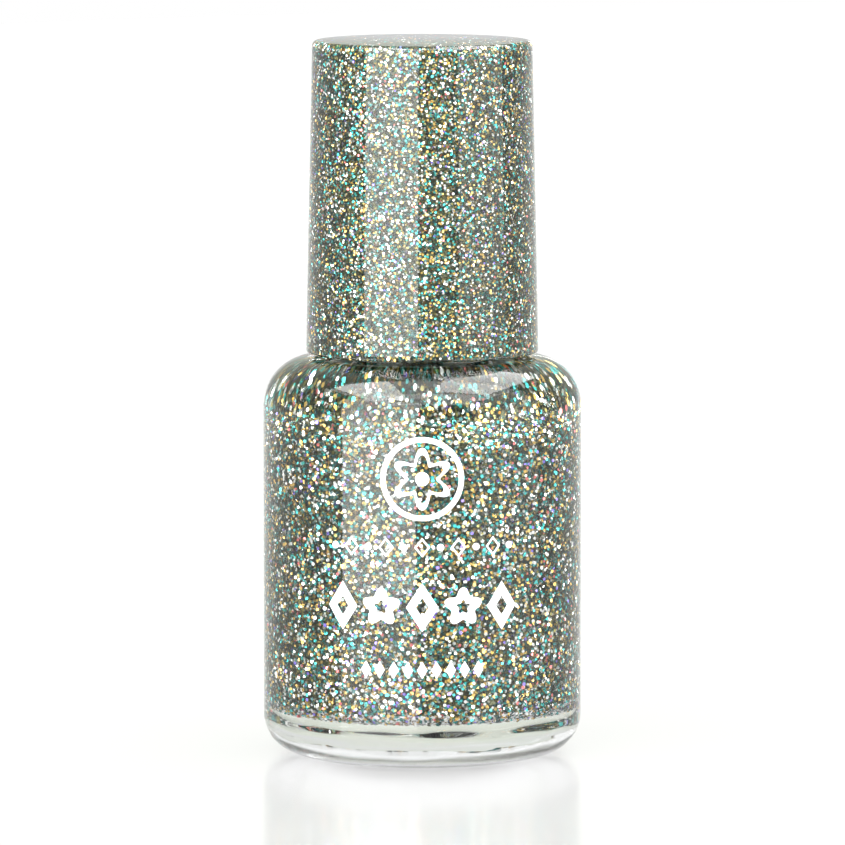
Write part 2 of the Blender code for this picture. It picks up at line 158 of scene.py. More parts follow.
class GlitterSettings(bpy.types.PropertyGroup):
    """The flakes in the lacquer and in the cap"""

    lacquer_flake: length_property("Lacquer flake", "Centre to corner of a flake in the lacquer", 0.128 * MM)
    cap_flake: length_property("Cap flake", "Centre to corner of a flake in the cap", 0.093 * MM)
    flake_thickness: length_property("Flake thickness", "Thickness of a flake", 0.012 * MM)
    tilt: bpy.props.FloatProperty(
        name="Tilt", description="How far flakes lean from the wall they lie along",
        default=radians(17), subtype="ANGLE",
    )
    free_tilt: bpy.props.FloatProperty(
        name="Freedom at the top", description="How many times further they lean under a ceiling",
        default=2.6, min=1,
    )
    lacquer_flakes: bpy.props.IntProperty(
        name="Flakes in the lacquer", description="Number of flakes near the glass", default=43000, min=0
    )
    cap_flakes: bpy.props.IntProperty(
        name="Flakes in the cap", description="Number of flakes in the cap's wall", default=46000, min=0
    )
    heart: colour_property("Gaps", "Between the flakes", (0.05, 0.055, 0.015))
    deep_teal: colour_property("Deep teal", "Dark turquoise foil", (0.003, 0.075, 0.08))
    olive: colour_property("Olive", "Dark amber foil", (0.27, 0.24, 0.06))
    silver: colour_property("Silver", "Colourless foil", (0.93, 0.94, 0.92))
    teal: colour_property("Teal", "Turquoise foil", (0.03, 0.56, 0.54))
    gold: colour_property("Gold", "Amber foil", (0.95, 0.62, 0.15))
    violet: colour_property("Violet", "A rare foil", (0.30, 0.22, 0.85))
    pink: colour_property("Pink", "The rarest foil", (0.90, 0.22, 0.22))


class CapSizes(bpy.types.PropertyGroup):
    """The clear outer cap, the glitter under its surface, and the closure inside"""

    bottom: length_property("Mouth height", "Lower edge of the cap", CAP_LOW.z)
    top: length_property("Top height", "Flat top of the cap", CAP_HIGH.z)
    bottom_radius: length_property("Mouth radius", "Outside of the cap at its mouth", CAP_HIGH.x)
    top_radius: length_property("Top radius", "Outside of the cap at its top", 7.95 * MM)
    wall: length_property("Wall", "Thickness of the whole side wall", 0.95 * MM)
    roof: length_property("Roof", "Thickness of the whole top", 1.2 * MM)
    skin: length_property("Clear skin", "Depth of clear plastic over the glitter coat", 0.42 * MM)
    rim_rounding: length_property("Rim rounding", "Rounding round the flat top", 0.4 * MM)
    mouth_rounding: length_property("Mouth rounding", "Rounding of the lower edge", 0.15 * MM)


class StageSettings(bpy.types.PropertyGroup):
    """Floor, lights and camera"""

    camera_distance: length_property("Camera distance", "From the bottle's axis", 570 * MM)
    camera_height: length_property("Camera height", "Above the floor", 85.5 * MM)
    aim_height: length_property("Aim height", "Where on the axis the camera points", 23.9 * MM)
    view_width: length_property("View width", "What the picture spans at the bottle", 60.8 * MM)
    aim_side: length_property("Aim side", "Where the camera points, to the right of the axis", 0.02 * MM)
    key: brightness_property("Key light", "The left softbox", 4.5)
    top: brightness_property("Top lights", "The two overhead panels that show on the shoulder", 6.5)
    fill: brightness_property("Top fill", "The wide overhead panel", 2.6)
    card: brightness_property("Right card", "The right-hand card", 1.5)
    front: brightness_property("Front fill", "The high front panel", 2.8)


def mix(a, b, share):
    return a + (b - a) * share


def arc(centre_r, centre_z, radius, start, end, steps):
    """Outline points on an arc, from start to end in degrees, with 0 pointing outwards and 90 up."""
    turns = [radians(mix(start, end, i / steps)) for i in range(steps + 1)]
    return [(centre_r + radius * cos(a), centre_z + radius * sin(a)) for a in turns]


def straight(start, end, step):
    """Outline points along a straight run, no further apart than step, without its two ends."""
    count = ceil(hypot(end[0] - start[0], end[1] - start[1]) / step)
    return [(mix(start[0], end[0], i / count), mix(start[1], end[1], i / count)) for i in range(1, count)]


def spun(outline, steps, closed=False):
    """A bmesh of an outline of (radius, height) points spun round Z, welded at its seam and poles."""
    form = bmesh.new()
    points = [form.verts.new((r, 0, z)) for r, z in outline]
    edges = [form.edges.new(pair) for pair in zip(points, points[1:])]
    if closed:
        edges.append(form.edges.new((points[-1], points[0])))
    bmesh.ops.spin(
        form, geom=points + edges, cent=(0, 0, 0), axis=(0, 0, 1), dvec=(0, 0, 0),
        angle=FULL_TURN, steps=steps, use_merge=True,
    )
    bmesh.ops.remove_doubles(form, verts=form.verts, dist=WELD)
    bmesh.ops.recalc_face_normals(form, faces=form.faces)
    return form


def make_piece(name, form, materials, body, stands_for=(), smooth=True):
    """Turns a bmesh into a finished piece that rides on a body."""
    mesh = bpy.data.meshes.new(name)
    form.to_mesh(mesh)
    form.free()
    for material in materials:
        mesh.materials.append(material)
    if smooth:
        mesh.shade_smooth()
        mesh.set_sharp_from_angle(angle=SHARP_ANGLE)
    piece = bpy.data.objects.new(name, mesh)
    bpy.context.scene.collection.objects.link(piece)
    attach(piece, body)
    if stands_for:
        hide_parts(*stands_for)
    return piece


class Finish:
    """A material under construction: its nodes, its links and its Principled shader."""

    def __init__(self, name, colour=(0.8, 0.8, 0.8), roughness=0.5, metallic=0.0):
        self.material = bpy.data.materials.new(name)
        self.material.use_nodes = True
        self.tree = self.material.node_tree
        self.shader = self.tree.nodes["Principled BSDF"]
        self.set(Base_Color=(*colour, 1), Roughness=roughness, Metallic=metallic)

    def set(self, **values):
        for socket, value in values.items():
            self.shader.inputs[socket.replace("_", " ")].default_value = value

    def node(self, kind, **settings):
        made = self.tree.nodes.new("ShaderNode" + kind)
        for setting, value in settings.items():
            setattr(made, setting, value)
        return made

    def link(self, source, target):
        self.tree.links.new(source, target)

    def place(self, scale=(1, 1, 1), turn=(0, 0, 0)):
        """Object coordinates, turned, then stretched along each axis by scale."""
        coordinates = self.node("TexCoord")
        mapping = self.node("Mapping")
        mapping.inputs["Scale"].default_value = scale
        mapping.inputs["Rotation"].default_value = turn
        self.link(coordinates.outputs["Object"], mapping.inputs["Vector"])
        return mapping.outputs["Vector"]

    def noise(self, place, scale, detail=2.0):
        texture = self.node("TexNoise")
        texture.inputs["Scale"].default_value = scale
        texture.inputs["Detail"].default_value = detail
        self.link(place, texture.inputs["Vector"])
        return texture.outputs["Fac"]

    def ramp(self, value, stops, interpolation="LINEAR"):
        """A colour ramp from a value, with stops of (position, colour)."""
        ramp = self.node("ValToRGB")
        ramp.color_ramp.interpolation = interpolation
        elements = ramp.color_ramp.elements
        while len(elements) < len(stops):
            elements.new(1.0)
        for element, (position, colour) in zip(elements, stops):
            element.position = position
            element.color = (*colour, 1)
        self.link(value, ramp.inputs["Fac"])
        return ramp.outputs["Color"]

    def remap(self, value, low, high):
        """A value from 0 to 1, spread from low to high."""
        spread = self.node("MapRange")
        spread.inputs["To Min"].default_value = low
        spread.inputs["To Max"].default_value = high
        self.link(value, spread.inputs["Value"])
        return spread.outputs["Result"]

    def bump(self, value, height):
        relief = self.node("Bump")
        relief.inputs["Distance"].default_value = height
        self.link(value, relief.inputs["Height"])
        self.link(relief.outputs["Normal"], self.shader.inputs["Normal"])

    def vary_colour(self, value, dark, light):
        self.link(self.ramp(value, [(0.3, dark), (0.7, light)]), self.shader.inputs["Base Color"])

    def vary_roughness(self, value, low, high):
        self.link(self.remap(value, low, high), self.shader.inputs["Roughness"])


def clear_material(name, tint, ior, roughness=0.0):
    finish = Finish(name, tint, roughness)
    finish.set(IOR=ior, Transmission_Weight=1.0)
    return finish.material


def foil_material(name, colour):
    """Coloured foil under a hard clear coat, so that it glints white and is its own colour otherwise."""
    finish = Finish(name, colour, 0.24, metallic=1.0)
    finish.set(Coat_Weight=0.45, Coat_IOR=1.9, Coat_Roughness=0.14)
    return finish.material


def glitter_bed_material(name, settings, cell):
    """Packed flakes seen deep in a clear binder: small cells, each with its own foil, lean and metal."""
    gap_start, gap_full, most_lean = 0.42, 0.5, 0.9
    finish = Finish(name, roughness=0.3)
    place = finish.place(turn=(0.6, 0.4, 0.9))
    cells = finish.node("TexVoronoi")
    cells.inputs["Scale"].default_value = 1 / cell
    finish.link(place, cells.inputs["Vector"])
    parts = finish.node("SeparateColor")
    finish.link(cells.outputs["Color"], parts.inputs["Color"])
    names = ("heart", "deep_teal", "olive", "teal", "gold", "silver")
    heart, deep_teal, olive, teal, gold, silver = (tuple(getattr(settings, name)) for name in names)
    dim_silver = tuple(0.5 * c for c in silver)
    stops = [
        (0, heart), (0.25, olive), (0.47, deep_teal), (0.7, dim_silver),
        (0.78, teal), (0.87, gold), (0.94, silver),
    ]
    foil = finish.ramp(parts.outputs["Red"], stops, "CONSTANT")
    edge = finish.node("MapRange")
    edge.inputs["From Min"].default_value = gap_start
    edge.inputs["From Max"].default_value = gap_full
    finish.link(cells.outputs["Distance"], edge.inputs["Value"])
    blend = finish.node("Mix", data_type="RGBA")
    finish.link(edge.outputs["Result"], blend.inputs["Factor"])
    finish.link(foil, blend.inputs["A"])
    blend.inputs["B"].default_value = (*heart, 1)
    finish.link(blend.outputs["Result"], finish.shader.inputs["Base Color"])
    finish.link(finish.remap(parts.outputs["Red"], 0.4, 0.9), finish.shader.inputs["Metallic"])

    centred = finish.node("VectorMath", operation="SUBTRACT")
    finish.link(cells.outputs["Color"], centred.inputs[0])
    centred.inputs[1].default_value = (0.5, 0.5, 0.5)
    lean = finish.node("VectorMath", operation="SCALE")
    finish.link(centred.outputs["Vector"], lean.inputs[0])
    lean.inputs["Scale"].default_value = most_lean
    geometry = finish.node("NewGeometry")
    leaning = finish.node("VectorMath", operation="ADD")
    finish.link(geometry.outputs["Normal"], leaning.inputs[0])
    finish.link(lean.outputs["Vector"], leaning.inputs[1])
    unit = finish.node("VectorMath", operation="NORMALIZE")
    finish.link(leaning.outputs["Vector"], unit.inputs[0])
    finish.link(unit.outputs["Vector"], finish.shader.inputs["Normal"])
    return finish.material


def settled_foil_material():
    """Flakes that have sunk to the glass floor and lie flat on it, like one soft mirror."""
    finish = Finish("glitter_settled", (0.95, 0.94, 0.98), 0.2, metallic=1.0)
    place = finish.place()
    finish.vary_colour(finish.noise(place, 900, 3), (0.93, 0.92, 0.95), (0.98, 0.97, 1.0))
    finish.vary_roughness(finish.noise(place, 2500), 0.12, 0.3)
    return finish.material


def moulded_plastic_material(name, dark, light, grain):
    finish = Finish(name, light, 0.4)
    place = finish.place()
    finish.vary_colour(finish.noise(place, 400), dark, light)
    finish.vary_roughness(finish.noise(place, 2500), 0.3, 0.5)
    finish.bump(finish.noise(place, 6000), grain)
    return finish.material


def steel_material():
    finish = Finish("ball_steel", (0.62, 0.62, 0.63), 0.12, metallic=1.0)
    place = finish.place((1, 1, 8))
    finish.vary_colour(finish.noise(place, 500), (0.5, 0.5, 0.51), (0.66, 0.66, 0.67))
    finish.vary_roughness(finish.noise(place, 1500), 0.08, 0.25)
    return finish.material


def foam_material():
    finish = Finish("liner_foam", (0.88, 0.88, 0.86), 0.7)
    place = finish.place()
    finish.vary_colour(finish.noise(place, 3000), (0.78, 0.78, 0.75), (0.92, 0.92, 0.9))
    finish.bump(finish.noise(place, 5000, 4), 0.03 * MM)
    return finish.material


def nylon_material():
    finish = Finish("bristle_nylon", (0.03, 0.03, 0.03), 0.35)
    place = finish.place((1, 1, 0.1))
    finish.vary_colour(finish.noise(place, 4000), (0.015, 0.015, 0.016), (0.07, 0.07, 0.075))
    finish.vary_roughness(finish.noise(place, 2500), 0.25, 0.45)
    return finish.material


def brass_material():
    finish = Finish("anchor_brass", (0.75, 0.6, 0.3), 0.3, metallic=1.0)
    place = finish.place((0.1, 1, 1))
    finish.vary_colour(finish.noise(place, 6000), (0.62, 0.47, 0.2), (0.8, 0.65, 0.34))
    finish.vary_roughness(finish.noise(place, 6000), 0.22, 0.4)
    return finish.material


def paper_material():
    finish = Finish("label_paper", (0.86, 0.85, 0.88), 0.6)
    place = finish.place()
    finish.vary_colour(finish.noise(place, 1500, 4), (0.82, 0.81, 0.86), (0.9, 0.89, 0.92))
    finish.bump(finish.noise(place, 4000, 4), 0.01 * MM)
    return finish.material


def ink_material():
    finish = Finish("print_ink", (0.96, 0.96, 0.96), 0.35)
    place = finish.place()
    finish.vary_colour(finish.noise(place, 2500, 3), (0.93, 0.93, 0.93), (0.98, 0.98, 0.98))
    finish.bump(finish.noise(place, 5000), 0.004 * MM)
    return finish.material


def cavity_outline(sizes, inset=0.0, floor_inset=0.0):
    """The lacquer's side of the glass, from the centre of the floor up to the bore.

    It is moved in by floor_inset at the floor and by inset up the side, and changes over round the heel.
    """
    inside = sizes.body_radius - sizes.side_wall
    ceiling = sizes.shoulder_height - sizes.shoulder_wall
    heel = sizes.inside_heel
    shoulder = sizes.inside_shoulder
    steps = 10
    outline = [(0, sizes.floor_height + floor_inset)]
    for i in range(steps + 1):
        reach = heel - mix(floor_inset, inset, i / steps)
        angle = radians(mix(-90, 0, i / steps))
        outline.append((inside - heel + reach * cos(angle), sizes.floor_height + heel + reach * sin(angle)))
    outline += straight(outline[-1], (inside - inset, ceiling - shoulder), 1 * MM)
    outline += arc(inside - shoulder, ceiling - shoulder, shoulder - inset, 0, 90, 28)
    return outline


def ripple(place):
    """Smooth unevenness from -1 to 1, drawn out round the bottle as moulded glass flows."""
    across, upwards, shift = 315, 1980, 3
    return noise.noise(Vector((place.x * across + shift, place.y * across, place.z * upwards)))


def thread_height(angle, height, start, pitch, turns, half_width, depth, fade=0.12):
    """How far a helical ridge stands out of its wall there."""
    best = 0.0
    share = (angle % FULL_TURN) / FULL_TURN
    for lap in range(ceil(turns)):
        along = share + lap
        if along > turns:
            continue
        off_centre = (height - start - pitch * along) / half_width
        if abs(off_centre) < 1:
            swell = min(1.0, along / fade, (turns - along) / fade)
            best = max(best, depth * swell * sqrt(1 - off_centre ** 2))
    return best


def raise_thread(form, radius, direction, low, high, **thread):
    """Pushes a helical ridge out of the wall of that radius, outwards (1) or inwards (-1)."""
    for vert in form.verts:
        r = hypot(vert.co.x, vert.co.y)
        if abs(r - radius) > HAIR or not low < vert.co.z < high:
            continue
        angle = Vector((1, 0)).angle_signed(Vector((vert.co.x, vert.co.y)), 0)
        stretched = (r + direction * thread_height(-angle, vert.co.z, **thread)) / r
        vert.co.x *= stretched
        vert.co.y *= stretched


class BOTTLE_OT_glass(bpy.types.Operator):
    """Blow the glass bottle: thick floor, round shoulder and threaded neck"""

    bl_idname = "bottle.glass"
    bl_label = "Glass Bottle"

    def execute(self, context):
        s = context.scene.bottle_sizes
        ceiling = s.shoulder_height - s.shoulder_wall
        bore_foot = (s.bore_radius + s.bore_fillet, ceiling + s.bore_fillet)
        lip_z = s.neck_top - s.lip_rounding
        outline = cavity_outline(s)
        outline += arc(*bore_foot, s.bore_fillet, 270, 180, 8)
        outline += straight(outline[-1], (s.bore_radius, lip_z), 1 * MM)
        outline += arc(s.bore_radius + s.lip_rounding, lip_z, s.lip_rounding, 180, 90, 6)
        outline += arc(s.neck_radius - s.lip_rounding, lip_z, s.lip_rounding, 90, 0, 6)
        outline += straight(outline[-1], (s.neck_radius, s.bead_height + s.bead_radius), 0.1 * MM)
        outline += arc(s.neck_radius, s.bead_height, s.bead_radius, 90, -90, 12)
        fillet = s.neck_fillet
        outline += arc(s.neck_radius + fillet, s.shoulder_height + fillet, fillet, 180, 270, 6)
        shoulder_z = s.shoulder_height - s.shoulder_radius
        outline += arc(s.body_radius - s.shoulder_radius, shoulder_z, s.shoulder_radius, 90, 0, 28)
        outline += straight(outline[-1], (s.body_radius, s.heel_radius), 1 * MM)
        outline += arc(s.body_radius - s.heel_radius, s.heel_radius, s.heel_radius, 0, -90, 20)
        outline += [(s.recess_radius, 0)]
        corner = s.recess_rounding
        outline += arc(s.recess_radius - corner, s.recess_depth - corner, corner, 0, 90, 6)
        outline += straight(outline[-1], (0, s.recess_depth), 1 * MM)
        outline += [(0, s.recess_depth)]
        form = spun(outline, OUTER_STEPS)
        raise_thread(
            form, s.neck_radius, 1, s.bead_height + s.bead_radius, lip_z,
            start=s.thread_start, pitch=s.thread_pitch, turns=THREAD_TURNS,
            half_width=s.thread_width, depth=s.thread_depth,
        )
        wetted = s.body_radius - s.side_wall + TOUCHING
        for face in form.faces:
            middle = face.calc_center_median()
            inside = s.floor_height - TOUCHING < middle.z < ceiling + TOUCHING
            if inside and hypot(middle.x, middle.y) < wetted:
                face.material_index = 1
        for vert in form.verts:
            low = 1 - vert.co.z / s.floor_height
            if low > 0 and vert.co.z > HAIR:
                r = hypot(vert.co.x, vert.co.y)
                share = min(1, 4 * low) * s.ripple / max(r, MM)
                vert.co.x *= 1 + share * ripple(vert.co)
                vert.co.y *= 1 + share * ripple(vert.co)
        glass = clear_material("clear_glass", (0.97, 0.985, 0.975), 1.5)
        wet_glass = clear_material("clear_glass_wetted", (1, 1, 1), 1.0)
        make_piece("bottle_glass", form, [glass, wet_glass], "bottle", ["glass_bottle"])
        return {"FINISHED"}


class BOTTLE_OT_lacquer(bpy.types.Operator):
    """Fill the bottle: the dense heart of the lacquer, with room for the brush and the balls"""

    bl_idname = "bottle.lacquer"
    bl_label = "Lacquer"

    def execute(self, context):
        s = context.scene.bottle_sizes
        fill = context.scene.bottle_lacquer
        inside = s.body_radius - s.side_wall
        top = s.shoulder_height - s.shoulder_wall - fill.skin
        outline = cavity_outline(s, fill.skin, fill.floor_skin)
        outline += [(fill.well_radius, top), (fill.well_radius, fill.track_top)]
        outline += [(inside - fill.skin - fill.track_wall, fill.track_top)]
        outline += [(inside - fill.skin - fill.track_wall, s.floor_height + s.inside_heel)]
        outline += arc(inside - s.inside_heel, s.floor_height + s.inside_heel,
                       s.inside_heel - fill.skin - fill.track_wall, 0, -90, 6)
        outline += [(0, s.floor_height + fill.floor_skin + fill.track_wall)]
        form = spun(outline, INNER_STEPS)
        form.normal_update()
        glitter = context.scene.bottle_glitter
        bed = glitter_bed_material("glitter_lacquer", glitter, 2.0 * glitter.lacquer_flake)
        settled = settled_foil_material()
        settled_below = -0.2
        for face in form.faces:
            if face.normal.z < settled_below:
                face.material_index = 1
        make_piece("lacquer_heart", form, [bed, settled], "bottle", ["lacquer"])
        return {"FINISHED"}


def spots(outline, count, dice):
    """Places spread evenly over a spun surface, each with the way out, for an outline drawn upwards."""
    runs = list(zip(outline, outline[1:]))
    total, reach = 0.0, []
    for (r0, z0), (r1, z1) in runs:
        total += (r0 + r1) / 2 * hypot(r1 - r0, z1 - z0)
        reach.append(total)
    for _ in range(count):
        (r0, z0), (r1, z1) = runs[bisect.bisect(reach, dice.random() * total)]
        along = dice.random()
        turn = Matrix.Rotation(dice.random() * FULL_TURN, 3, "Z")
        place = turn @ Vector((mix(r0, r1, along), 0, mix(z0, z1, along)))
        yield place, turn @ Vector((z1 - z0, 0, r0 - r1)).normalized()


def scatter(name, outline, layer, size, count, foils, glitter, seed, body):
    """A batch of flakes: flat six-sided foils lying just under a spun surface, each with its own lean.

    layer is how deep the first and the last flakes lie, and how deep the last ones lie on the underside.
    Towards the top of the surface they lean more freely.
    """
    nearest, deepest, deepest_below = layer
    dice = random.Random(seed)
    handful, everything = bmesh.new(), bmesh.new()
    handful_mesh = bpy.data.meshes.new(name + "_handful")
    for number, (place, out) in enumerate(spots(outline, count, dice), 1):
        tilt = glitter.tilt * mix(1, glitter.free_tilt, max(0, out.z))
        lean = Vector([dice.gauss(0, tilt) for _ in range(3)])
        facing = (out + lean).normalized()
        centre = place - out * dice.uniform(nearest, mix(deepest, deepest_below, max(0, -out.z)))
        turn = (-facing).to_track_quat("Z", "Y").to_matrix().to_4x4()
        twist = Matrix.Rotation(dice.random() * FULL_TURN, 4, "Z")
        bmesh.ops.create_cone(
            handful, cap_ends=True, segments=6, radius1=size * dice.uniform(0.75, 1.15), radius2=0,
            depth=glitter.flake_thickness, matrix=Matrix.Translation(centre) @ turn @ twist,
        )
        if number % HANDFUL == 0 or number == count:
            foil = dice.randrange(len(foils))
            for face in handful.faces:
                face.material_index = foil
            handful.to_mesh(handful_mesh)
            everything.from_mesh(handful_mesh)
            handful.clear()
    handful.free()
    bpy.data.meshes.remove(handful_mesh)
    return make_piece(name, everything, foils, body, smooth=False)


def foil_batches(glitter):
    """The kinds of flake, each with its foils."""
    colours = {
        "silver": {"bright": glitter.silver},
        "teal": {"bright": glitter.teal, "plain": 0.62 * Vector(glitter.teal), "deep": glitter.deep_teal},
        "gold": {"bright": glitter.gold, "plain": 0.7 * Vector(glitter.gold), "olive": glitter.olive},
        "rare": {"violet": glitter.violet, "pink": glitter.pink, "amber": 0.8 * Vector(glitter.gold)},
    }
    return {
        kind: [foil_material(f"foil_{kind}_{shade}", colour) for shade, colour in shades.items()]
        for kind, shades in colours.items()
    }


def scatter_all(prefix, outline, layer, size, count, glitter, seed, body):
    for kind, foils in foil_batches(glitter).items():
        share = round(count * SHARES[kind])
        bags = ceil(share / LARGEST_BATCH)
        for bag in range(bags):
            name = f"{prefix}_{kind}" + (f"_{bag + 1}" if bags > 1 else "")
            scatter(name, outline, layer, size, share // bags, foils, glitter, f"{seed} {name}", body)


class BOTTLE_OT_lacquer_glitter(bpy.types.Operator):
    """Scatter the flakes that show through the glass"""

    bl_idname = "bottle.lacquer_glitter"
    bl_label = "Lacquer Glitter"

    def execute(self, context):
        s = context.scene.bottle_sizes
        glitter = context.scene.bottle_glitter
        outline = cavity_outline(s)
        outline.append((s.bore_radius + s.bore_fillet, s.shoulder_height - s.shoulder_wall))
        floor_edge = s.body_radius - s.side_wall - s.inside_heel
        above_floor = [(r, z) for r, z in outline if r > floor_edge or z > s.shoulder_height / 2]
        fill = context.scene.bottle_lacquer
        layer = (0.04 * MM, fill.skin - 0.03 * MM, fill.floor_skin)
        scatter_all(
            "lacquer_flakes", above_floor, layer, glitter.lacquer_flake, glitter.lacquer_flakes,
            glitter, 11, "bottle",
        )
        return {"FINISHED"}


def cap_outline(cap, inset=0.0):
    """The cap's outer side from its mouth to the centre of its top, moved in by inset."""
    rim = cap.rim_rounding
    outline = [(cap.bottom_radius - inset, cap.bottom + cap.mouth_rounding)]
    outline += straight(outline[0], (cap.top_radius - inset, cap.top - rim), 1 * MM)
    outline += arc(cap.top_radius - inset - rim, cap.top - inset - rim, rim, 0, 90, 8)
    outline += [(0, cap.top - inset)]
    return outline


class BOTTLE_OT_cap(bpy.types.Operator):
    """Mould the outer cap: a clear skin over a glitter coat"""

    bl_idname = "bottle.cap"
    bl_label = "Outer Cap"

    def execute(self, context):
        cap = context.scene.bottle_cap
        glitter = context.scene.bottle_glitter
        mouth = cap.mouth_rounding
        outer = cap_outline(cap)
        inner = cap_outline(cap, cap.skin)
        outline = list(reversed(outer))
        outline += arc(cap.bottom_radius - mouth, cap.bottom + mouth, mouth, 0, -90, 4)[1:]
        outline += [(cap.bottom_radius - cap.skin, cap.bottom)] + inner
        form = spun(outline, OUTER_STEPS)
        for face in form.faces:
            middle = face.calc_center_median()
            slope = (middle.z - cap.bottom) / (cap.top - cap.bottom)
            outside = mix(cap.bottom_radius, cap.top_radius, slope)
            deep = min(outside - hypot(middle.x, middle.y), cap.top - middle.z)
            if deep > 0.9 * cap.skin:
                face.material_index = 1
        skin = clear_material("cap_clear_skin", (0.97, 0.98, 0.965), 1.5)
        bonded = clear_material("cap_clear_bonded", (1, 1, 1), 1.0)
        make_piece("cap_clear_shell", form, [skin, bonded], "cap", ["outer_cap"])

        bond = 0.02 * MM
        coat = cap_outline(cap, cap.skin + bond)
        inside = [(0, cap.top - cap.roof), (cap.top_radius - cap.wall, cap.top - cap.roof)]
        inside += [(cap.bottom_radius - cap.wall, cap.bottom + mouth)]
        form = spun(list(reversed(coat)) + list(reversed(inside)), INNER_STEPS)
        bed = glitter_bed_material("cap_glitter_plastic", glitter, 2.0 * glitter.cap_flake)
        make_piece("cap_glitter_coat", form, [bed], "cap")
        return {"FINISHED"}


class BOTTLE_OT_cap_glitter(bpy.types.Operator):
    """Scatter the flakes in the cap's wall and top"""

    bl_idname = "bottle.cap_glitter"
    bl_label = "Cap Glitter"

    def execute(self, context):
        cap = context.scene.bottle_cap
        glitter = context.scene.bottle_glitter
        outline = cap_outline(cap)
        layer = (0.15 * MM, cap.skin - 0.03 * MM, cap.skin)
        scatter_all(
            "cap_flakes", outline, layer, glitter.cap_flake, glitter.cap_flakes,
            glitter, 23, "cap",
        )
        return {"FINISHED"}


def wrap(form, radius, step=0.4 * MM):
    """Bends a flat print in the XZ plane round the front of the body; Y is its height off the glass."""
    reach = max(abs(vert.co.x) for vert in form.verts)
    cuts = floor(reach / step)
    for i in range(-cuts, cuts + 1):
        everything = form.verts[:] + form.edges[:] + form.faces[:]
        bmesh.ops.bisect_plane(
            form, geom=everything, dist=HAIR, plane_co=(i * step, 0, 0), plane_no=(1, 0, 0)
        )
    for vert in form.verts:
        angle = vert.co.x / radius
        off_axis = radius - vert.co.y
        vert.co = (off_axis * sin(angle), -off_axis * cos(angle), vert.co.z)


def motif(form, x, z, outer, inner=0.0, petals=0, depth=0.0, squeeze=1.0, start=0.0, segments=48):
    """A flat disc or ring whose edge swells into petals, drawn in the XZ plane."""
    loops = []
    for size in (outer, inner):
        if size <= 0:
            continue
        made = bmesh.ops.create_circle(form, cap_ends=inner <= 0, segments=segments, radius=size)["verts"]
        for i, vert in enumerate(made):
            angle = FULL_TURN * i / segments + start
            reach = size * (1 + depth * cos(petals * (angle - start)))
            vert.co = (x + squeeze * reach * sin(angle), 0, z + reach * cos(angle))
        loops.append({edge for vert in made for edge in vert.link_edges})
    if len(loops) == 2:
        bmesh.ops.bridge_loops(form, edges=list(loops[0] | loops[1]))


class BOTTLE_OT_print(bpy.types.Operator):
    """Print the front of the bottle in white: an emblem and three ornamental rows"""

    bl_idname = "bottle.print"
    bl_label = "Printed Ornament"

    def execute(self, context):
        s = context.scene.bottle_sizes
        form = bmesh.new()
        emblem_z = 21.1 * MM
        motif(form, 0, emblem_z, 3.0 * MM, 2.62 * MM)
        motif(form, 0, emblem_z, 1.75 * MM, 1.35 * MM, petals=6, depth=0.28, segments=96)
        motif(form, 0, emblem_z, 0.5 * MM)
        thin_z, thin_gap = 16.2 * MM, 1.3 * MM
        for i in range(-5, 6):
            if i % 2:
                motif(form, i * thin_gap, thin_z, 0.26 * MM, segments=16)
            else:
                motif(form, i * thin_gap, thin_z, 0.7 * MM, 0.5 * MM, segments=4, squeeze=0.8)
        bold_z, bold_gap = 11.9 * MM, 2.95 * MM
        for i in range(-2, 3):
            x = i * bold_gap
            if i % 2:
                motif(form, x, bold_z, 1.16 * MM, 0.42 * MM, petals=5, depth=0.22, segments=80)
            else:
                motif(form, x, bold_z, 1.75 * MM, 0.7 * MM, segments=4, squeeze=0.66)
        small_z, small_gap = 7.4 * MM, 1.02 * MM
        for i in range(-4, 5):
            motif(form, i * small_gap, small_z, 0.62 * MM, segments=4, squeeze=0.6)
        thickness, clearance = 0.03 * MM, 0.004 * MM
        for face in form.faces:
            face.normal_update()
            if face.normal.y > 0:
                face.normal_flip()
        raised = bmesh.ops.extrude_face_region(form, geom=form.faces[:])["geom"]
        lifted = [part for part in raised if isinstance(part, bmesh.types.BMVert)]
        bmesh.ops.translate(form, vec=(0, -thickness, 0), verts=lifted)
        bmesh.ops.translate(form, vec=(0, -clearance, 0), verts=form.verts)
        wrap(form, s.body_radius)
        bmesh.ops.recalc_face_normals(form, faces=form.faces)
        make_piece("printed_ornament", form, [ink_material()], "bottle")
        return {"FINISHED"}


class BOTTLE_OT_label(bpy.types.Operator):
    """Stick the round paper label in the recess under the foot"""

    bl_idname = "bottle.label"
    bl_label = "Base Label"

    def execute(self, context):
        radius = LABEL_HIGH.x
        outline = [(0, LABEL_HIGH.z), (radius, LABEL_HIGH.z), (radius, LABEL_LOW.z), (0, LABEL_LOW.z)]
        form = spun(outline, INNER_STEPS)
        make_piece("paper_label", form, [paper_material()], "bottle", ["base_label"])
        return {"FINISHED"}


class BOTTLE_OT_balls(bpy.types.Operator):
    """Drop in the two steel mixing balls"""

    bl_idname = "bottle.balls"
    bl_label = "Mixing Balls"

    def execute(self, context):
        steel = steel_material()
        for node, body in (("mixing_ball_1", "ball_1"), ("mixing_ball_2", "ball_2")):
            low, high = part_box(node)
            form = bmesh.new()
            place = Matrix.Translation((low + high) / 2)
            bmesh.ops.create_icosphere(form, subdivisions=4, radius=(high.z - low.z) / 2, matrix=place)
            make_piece(node + "_polished", form, [steel], body, [node])
        return {"FINISHED"}


